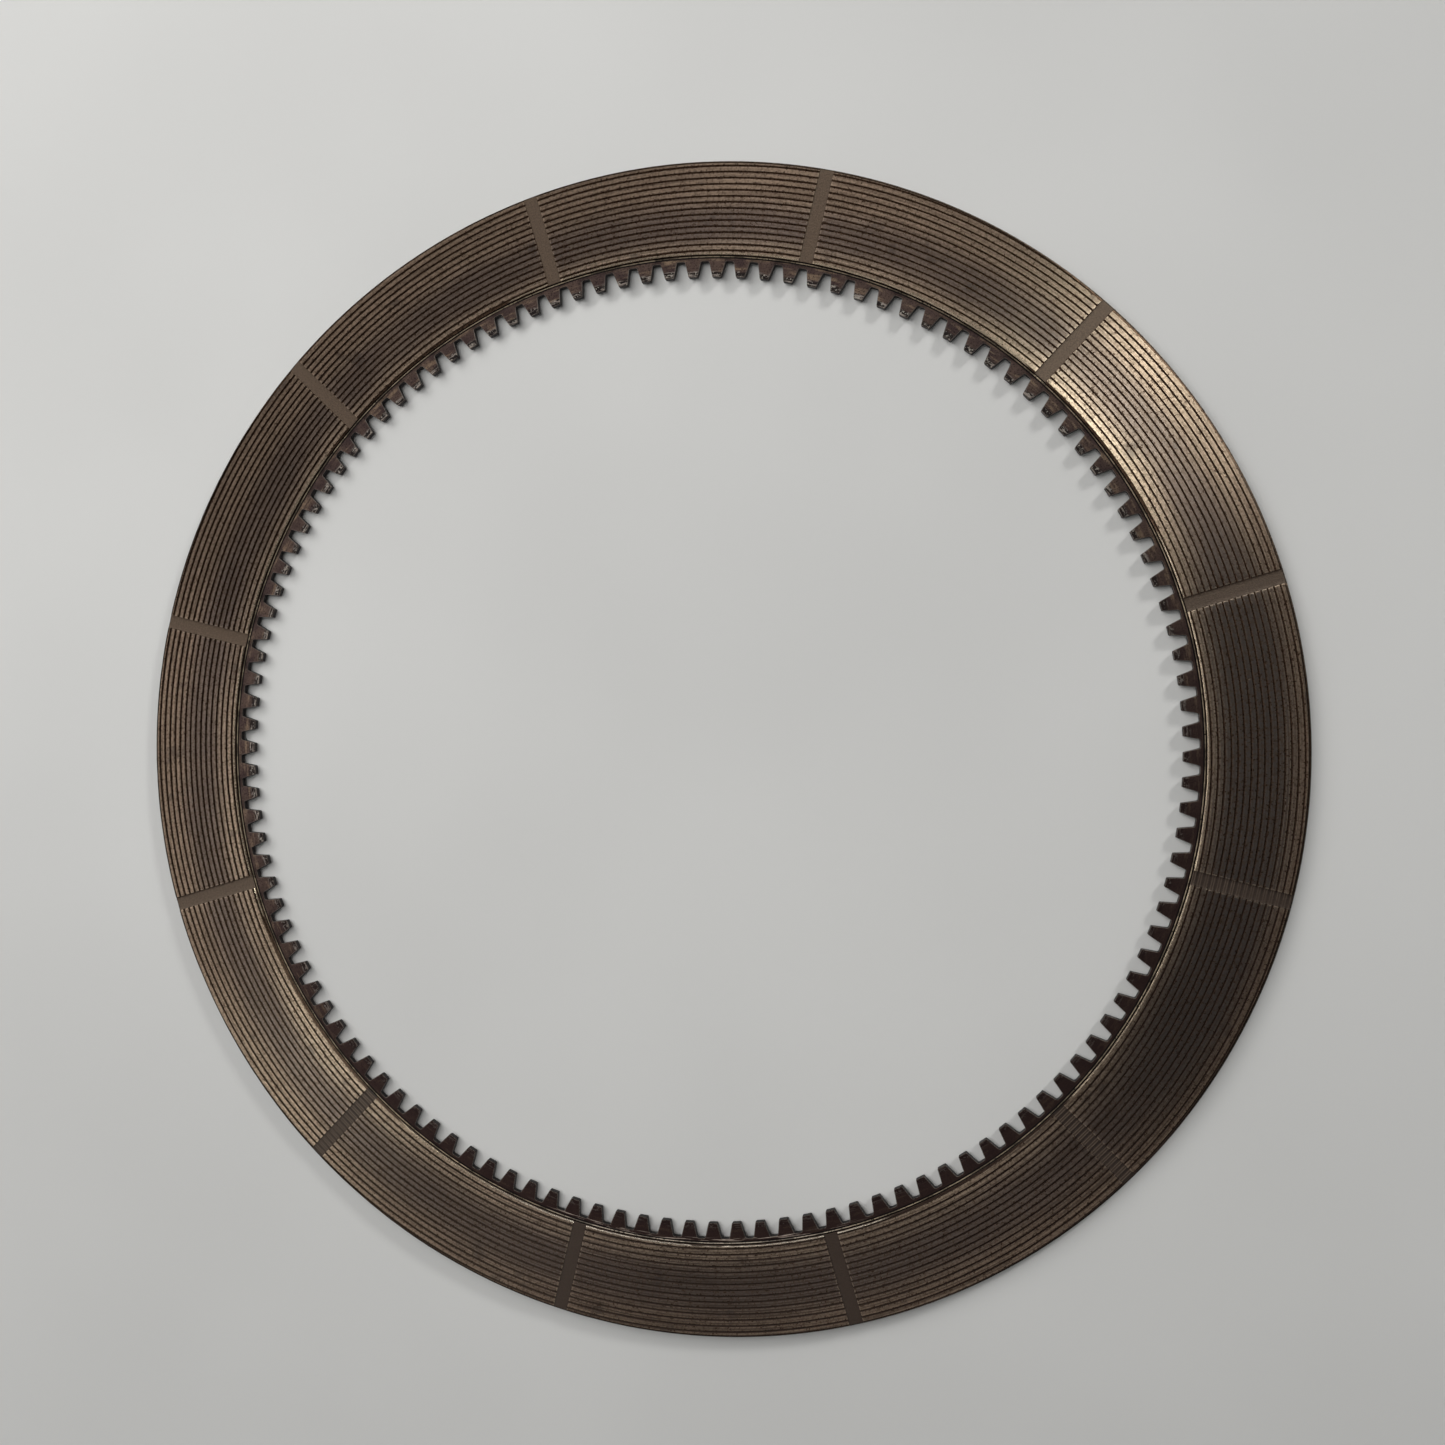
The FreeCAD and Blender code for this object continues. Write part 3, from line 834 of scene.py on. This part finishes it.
    def finish(self):
        """Sets the shader's inputs and gives back the material."""
        shader = self.shader.inputs
        colour = self.layers(self.land(), (self.sunk, self.groove()), (self.floor, self.channel()))
        land_rough = self.math("MULTIPLY_ADD", self.grain, 0.20, 0.32)
        land_rough = self.ramp(self.lip, 0.0, 1.0, land_rough, 0.27)
        self.put(shader["Base Color"], colour)
        self.put(shader["Roughness"], self.sunken(land_rough, 0.66, 0.85))
        self.put(shader["Metallic"], self.sunken(1.0, 0.93, 0.55))
        shader["Anisotropic"].default_value = 0.975
        shader["Anisotropic Rotation"].default_value = BRUSH_TURN
        self.put(shader["Tangent"], self.add("Tangent", direction_type="RADIAL", axis="Z").outputs[0])
        normal = self.bump(self.marks, 0.02 * MM, 0.5)
        normal = self.bump(self.pits, 0.04 * MM, 0.6, normal)
        rough_grain = self.times(self.grain, self.ramp(self.floor, 0.0, 1.0, 1.0, 6.0))
        self.put(shader["Normal"], self.bump(rough_grain, 0.05 * MM, 0.5, normal))
        return self.material


class Steel(DiscGraph):
    """Core steel: brown-black oxide, scuffed tooth tips, black walls, a thin bronze line at the facing."""

    def __init__(self):
        super().__init__("core_steel")
        self.from_tip = self.math("SUBTRACT", self.radius, TOOTH_TIP * MM)
        self.grain = self.clouds(0.5, 4.0)
        self.blotch = self.clouds(7, roughness=0.6)
        self.scratch = self.brushed(0.45, 4)
        self.streak = self.brushed(1.4, 9)
        # The nicked stretch: where the collar gets a painted highlight.
        self.nicked_wear_and_sheen = self.ramp(self.toward(NICKED_ANGLE), 0.965, 0.990)

    def oxide(self):
        """Blotchy, streaked and grainy brown-black oxide."""
        return self.layers(
            self.mix(self.ramp(self.blotch, 0.35, 0.65), *OXIDE),
            (self.ramp(self.streak, 0.50, 0.68, 0.0, 0.9), OXIDE_STREAK),
            (self.ramp(self.grain, 0.50, 0.62, 0.0, 0.7), OXIDE_GRAIN),
        )

    def face(self):
        """The plate's faces: oxide, scuffed at the tooth tips, darker on one side, with a painted highlight
        on the collar and a dark rim that is partly painted shade.
        """
        flecks = self.ramp(self.clouds(0.8, 2.0, 0.6), 0.57, 0.64)
        scuffed = self.layers(self.mix(self.ramp(self.scratch, 0.53, 0.60), *SCUFF), (flecks, SCUFF_FLECK))
        scuff_reach = self.math("MULTIPLY_ADD", self.blotch, 2.4 * MM, self.from_tip)
        # Painted highlight on the collar at the nicked stretch.
        glint = self.times(
            self.ramp(self.brushed(0.30, 9), 0.55, 0.62),
            self.ramp_mm(self.from_tip, 4.6, 5.2),
            self.nicked_wear_and_sheen,
        )
        return self.layers(
            self.oxide(),
            (self.ramp_mm(scuff_reach, 3.5, 2.5), scuffed),
            # Darker towards the side away from the palest side.
            (self.ramp(self.pale_side, 0.15, 0.75, 0.84, 0.0), STEEL_DARKER_SIDE),
            (glint, COLLAR_GLINT),
            # The dark rim is dark oxide deepened as painted shade.
            (self.ramp_mm(self.radius, FACING_INNER, FACING_OUTER), PLATE_RIM_OXIDE_AND_SHADE),
        )

    def ridged(self, face):
        """A face with the line of squeezed-out bronze beside the facing, between crevices darkened with
        painted shade.
        """
        # Painted shade in the crevices on both sides of the bronze line.
        crevice_shade = self.line(self.radius, RIDGE_LINE, 0.75, 0.50)
        crevice_shade = self.times(crevice_shade, self.ramp(self.streak, 0.30, 0.45, 0.5, 1.0))
        ridge = self.times(
            self.line(self.radius, RIDGE_LINE, 0.22, 0.10),
            self.ramp(self.grain, 0.35, 0.48),
            self.ramp(self.blotch, 0.40, 0.56, 0.35, 1.0),
        )
        return self.layers(face, (crevice_shade, CREVICE_SHADE), (ridge, self.mix(self.nicked_wear_and_sheen, *RIDGE_GOLD)))

    def walled(self, face):
        """A face with black walls below it, and a thin painted highlight along the edge between them."""
        below = self.math("SUBTRACT", CORE_TOP * MM, self.height)
        # Painted highlight along the top edge of the walls.
        edge = self.times(
            self.ramp_mm(below, 0.0, 0.04),
            self.ramp_mm(below, 0.14, 0.08),
            self.ramp(self.grain, 0.38, 0.55),
        )
        return self.layers(face, (self.ramp_mm(below, 0.10, 0.20), WALL), (edge, WALL_EDGE_HIGHLIGHT))

    def finish(self):
        """Sets the shader's inputs and gives back the material."""
        shader = self.shader.inputs
        self.put(shader["Base Color"], self.walled(self.ridged(self.face())))
        self.put(shader["Roughness"], self.math("MULTIPLY_ADD", self.grain, 0.25, 0.33))
        shader["Metallic"].default_value = 0.9
        relief = self.math("ADD", self.grain, self.scratch)
        self.put(shader["Normal"], self.bump(relief, 0.06 * MM, 0.6))
        return self.material


def table_top():
    """Plain pale floor."""
    g = Graph("floor")
    place = g.add("TexCoord").outputs["Object"]
    cloud = g.noise(place, 6.0, detail=2.0)
    g.put(g.shader.inputs["Base Color"], g.mix(g.ramp(cloud, 0.3, 0.7), *TABLE_GREY))
    g.shader.inputs["Roughness"].default_value = 0.9
    g.shader.inputs["Specular IOR Level"].default_value = 0.0
    return g.material


# ---------------------------------------------------------------------------------------------------------
# Floor and lights


def add_floor():
    """A wide level round table top that the disc lies on."""
    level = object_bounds()[0][2] / MM - FLOOR_GAP
    angles = np.arange(FLOOR_SIDES) * 360 / FLOOR_SIDES
    corners = polar_points(FLOOR_RADIUS, angles, np.full(FLOOR_SIDES, level))
    mesh = bpy.data.meshes.new("floor")
    mesh.from_pydata((corners * MM).tolist(), [], [list(range(FLOOR_SIDES))])
    floor = bpy.data.objects.new("floor", mesh)
    floor.data.materials.append(table_top())
    bpy.context.scene.collection.objects.link(floor)


def add_soft_light(name, azimuth, elevation, distance, side, watts, acts_on, colour):
    """A square lamp aimed at the disc. It acts on all, or on gloss or matt alone."""
    data = bpy.data.lights.new(name, "AREA")
    data.shape = "SQUARE"
    data.size = side
    data.energy = watts
    data.color = colour
    lamp = bpy.data.objects.new(name, data)
    level = distance * math.cos(math.radians(elevation))
    turn = math.radians(azimuth)
    lift = distance * math.sin(math.radians(elevation))
    lamp.location = in_picture(level * math.cos(turn), level * math.sin(turn), lift)
    lamp.rotation_euler = lamp.location.to_track_quat("Z", "Y").to_euler()
    lamp.visible_glossy = acts_on != "matt"
    lamp.visible_diffuse = acts_on != "gloss"
    bpy.context.scene.collection.objects.link(lamp)


def add_room():
    """A pale room behind the table, which lights the disc only faintly."""
    world = bpy.data.worlds.new("room")
    world.use_nodes = True
    background = world.node_tree.nodes["Background"]
    background.inputs["Color"].default_value = (*ROOM_COLOUR, 1)
    seen = world.node_tree.nodes.new("ShaderNodeMapRange")
    path = world.node_tree.nodes.new("ShaderNodeLightPath")
    world.node_tree.links.new(path.outputs["Is Camera Ray"], seen.inputs["Value"])
    seen.inputs["To Min"].default_value = ROOM_LIGHT
    seen.inputs["To Max"].default_value = ROOM_BRIGHTNESS
    world.node_tree.links.new(seen.outputs[0], background.inputs["Strength"])
    bpy.context.scene.world = world


# ---------------------------------------------------------------------------------------------------------
# Assembly


def add_piece(name, mesh, material, node):
    """A visible piece that rides on the disc's body and stands for one CAD solid."""
    piece = make_object(name, *mesh)
    piece.data.materials.append(material)
    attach(piece, "root")
    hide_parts(node)


add_camera()
bpy.context.scene.view_settings.view_transform = "Standard"
bronze = Bronze().finish()
points, faces = facing_mesh()
turned_over = points * np.array([1, -1, -1])
add_piece("facing_front", (points, faces), bronze, "front_facing")
add_piece("facing_rear", (turned_over, faces), bronze, "rear_facing")
add_piece("toothed_core", core_mesh(), Steel().finish(), "core_plate")
add_floor()
for settings in SOFT_LIGHTS:
    add_soft_light(*settings)
add_room()
